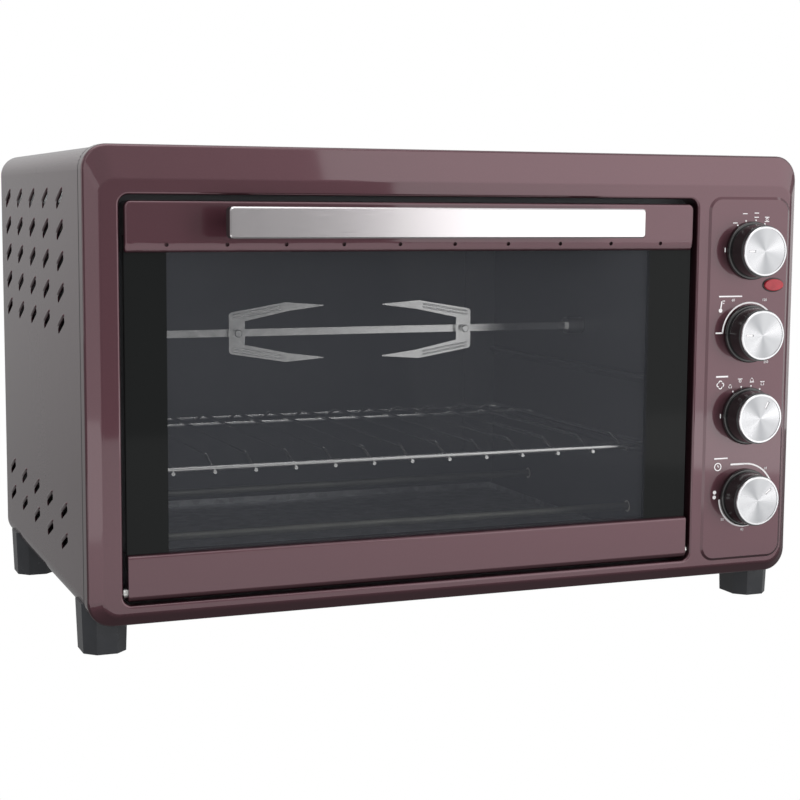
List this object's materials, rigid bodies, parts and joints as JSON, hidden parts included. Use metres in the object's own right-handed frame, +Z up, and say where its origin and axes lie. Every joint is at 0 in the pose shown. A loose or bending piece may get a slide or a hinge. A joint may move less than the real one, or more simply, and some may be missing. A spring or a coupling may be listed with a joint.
{
  "type": "electric countertop oven",
  "caption": "Countertop oven with a drop-down glass door, bar handle, control knobs on the right, wire rack and a rotisserie spit with sliding forks.",
  "frame": {"origin": "on the worktop, under the middle of the oven's overall box", "axes": "+X to the right as the user faces the door, +Y towards the rear panel, +Z up"},
  "size_m": [0.585, 0.413, 0.366],
  "materials": {
    "body_paint": "glossy dark burgundy enamel with a faint metallic tint",
    "bare_sheet": "zinc-coated sheet",
    "cavity_sheet": "grey heat-proof enamel",
    "door_glass": "tinted safety glass with black printed side borders",
    "handle_steel": "polished stainless face",
    "handle_black": "black heat-proof moulding",
    "knob_black": "glossy black moulding",
    "cap_metal": "spun and brushed in circles",
    "wire_chrome": "chromed wire and strip",
    "heater_sheath": "dull heat-tinted sheath",
    "ceramic": "unglazed",
    "control_plastic": "black switch housings",
    "steel": "zinc-plated steel",
    "brass": "turned brass",
    "lens_red": "clear red lens",
    "foot_black": "black moulded plastic",
    "gland_rubber": "black rubber"
  },
  "bodies": {
    "casing": {"outer_shell": "body_paint", "front_fascia": "body_paint", "rear_panel": "bare_sheet", "base_panel": "bare_sheet", "cavity_front_frame": "cavity_sheet", "cavity_left_wall": "cavity_sheet", "cavity_right_wall": "cavity_sheet", "cavity_ceiling": "cavity_sheet", "cavity_floor": "cavity_sheet", "cavity_back": "cavity_sheet", "crumb_tray": "bare_sheet", "foot_front_left": "foot_black", "foot_front_right": "foot_black", "foot_rear_left": "foot_black", "foot_rear_right": "foot_black", "casing_screws": "steel", "heater_lower_front": "heater_sheath", "heater_lower_rear": "heater_sheath", "heater_upper_front": "heater_sheath", "heater_upper_rear": "heater_sheath", "heater_bushes": "ceramic", "hinge_bracket_left": "bare_sheet", "hinge_bracket_right": "bare_sheet", "door_springs": "steel", "rotisserie_motor": "bare_sheet", "spit_support": "steel", "indicator_lens": "lens_red", "indicator_lamp": "control_plastic", "control_nuts": "brass", "cord_gland": "gland_rubber", "selector_control": "control_plastic", "thermostat_control": "control_plastic", "program_control": "control_plastic", "timer_control": "control_plastic"},
    "door": {"door_glass": "door_glass", "door_top_rail": "body_paint", "door_bottom_rail": "body_paint", "handle_bar": "handle_black", "handle_plate": "handle_steel", "handle_screws": "steel", "door_pins": "steel"},
    "rack": {"wire_rack": "wire_chrome"},
    "spit": {"spit_rod": "wire_chrome", "drive_socket": "steel"},
    "left_fork": {"fork_left": "wire_chrome", "fork_screw_left": "wire_chrome"},
    "right_fork": {"fork_right": "wire_chrome", "fork_screw_right": "wire_chrome"},
    "selector_dial": {"selector_shaft": "brass", "selector_knob": "knob_black", "selector_cap": "cap_metal"},
    "thermostat_dial": {"thermostat_shaft": "brass", "thermostat_knob": "knob_black", "thermostat_cap": "cap_metal"},
    "program_dial": {"program_shaft": "brass", "program_knob": "knob_black", "program_cap": "cap_metal"},
    "timer_dial": {"timer_shaft": "brass", "timer_knob": "knob_black", "timer_cap": "cap_metal"}
  },
  "joints": [
    {"name": "door_hinge", "type": "hinge", "parent": "casing", "child": "door", "pos_m": [-0.0345, -0.1615, 0.047], "axis": [1, 0, 0], "range_deg": [0, 90], "stiffness_Nm_per_rad": 0.6, "springref_deg": -34.38},
    {"name": "rack_slide", "type": "slide", "parent": "casing", "child": "rack", "axis": [0, -1, 0], "range_m": [0, 0.126]},
    {"name": "spit_spin", "type": "hinge", "parent": "casing", "child": "spit", "pos_m": [0, -0.0035, 0.22], "axis": [1, 0, 0], "continuous": true},
    {"name": "fork_left_slide", "type": "slide", "parent": "spit", "child": "left_fork", "axis": [1, 0, 0], "range_m": [-0.08, 0.025]},
    {"name": "fork_right_slide", "type": "slide", "parent": "spit", "child": "right_fork", "axis": [1, 0, 0], "range_m": [-0.025, 0.08]},
    {"name": "selector_turn", "type": "hinge", "parent": "casing", "child": "selector_dial", "pos_m": [0.2485, -0.1685, 0.29], "axis": [0, 1, 0], "range_deg": [0, 122]},
    {"name": "thermostat_turn", "type": "hinge", "parent": "casing", "child": "thermostat_dial", "pos_m": [0.2485, -0.1685, 0.2228], "axis": [0, 1, 0], "range_deg": [0, 240]},
    {"name": "program_turn", "type": "hinge", "parent": "casing", "child": "program_dial", "pos_m": [0.2485, -0.1685, 0.1556], "axis": [0, 1, 0], "range_deg": [-119, 3]},
    {"name": "timer_turn", "type": "hinge", "parent": "casing", "child": "timer_dial", "pos_m": [0.2485, -0.1685, 0.0884], "axis": [0, 1, 0], "range_deg": [-53, 217]}
  ],
  "couplings": [
    {"joint": "rack_slide", "follows": "door_hinge", "m_per_rad": 0.08}
  ]
}
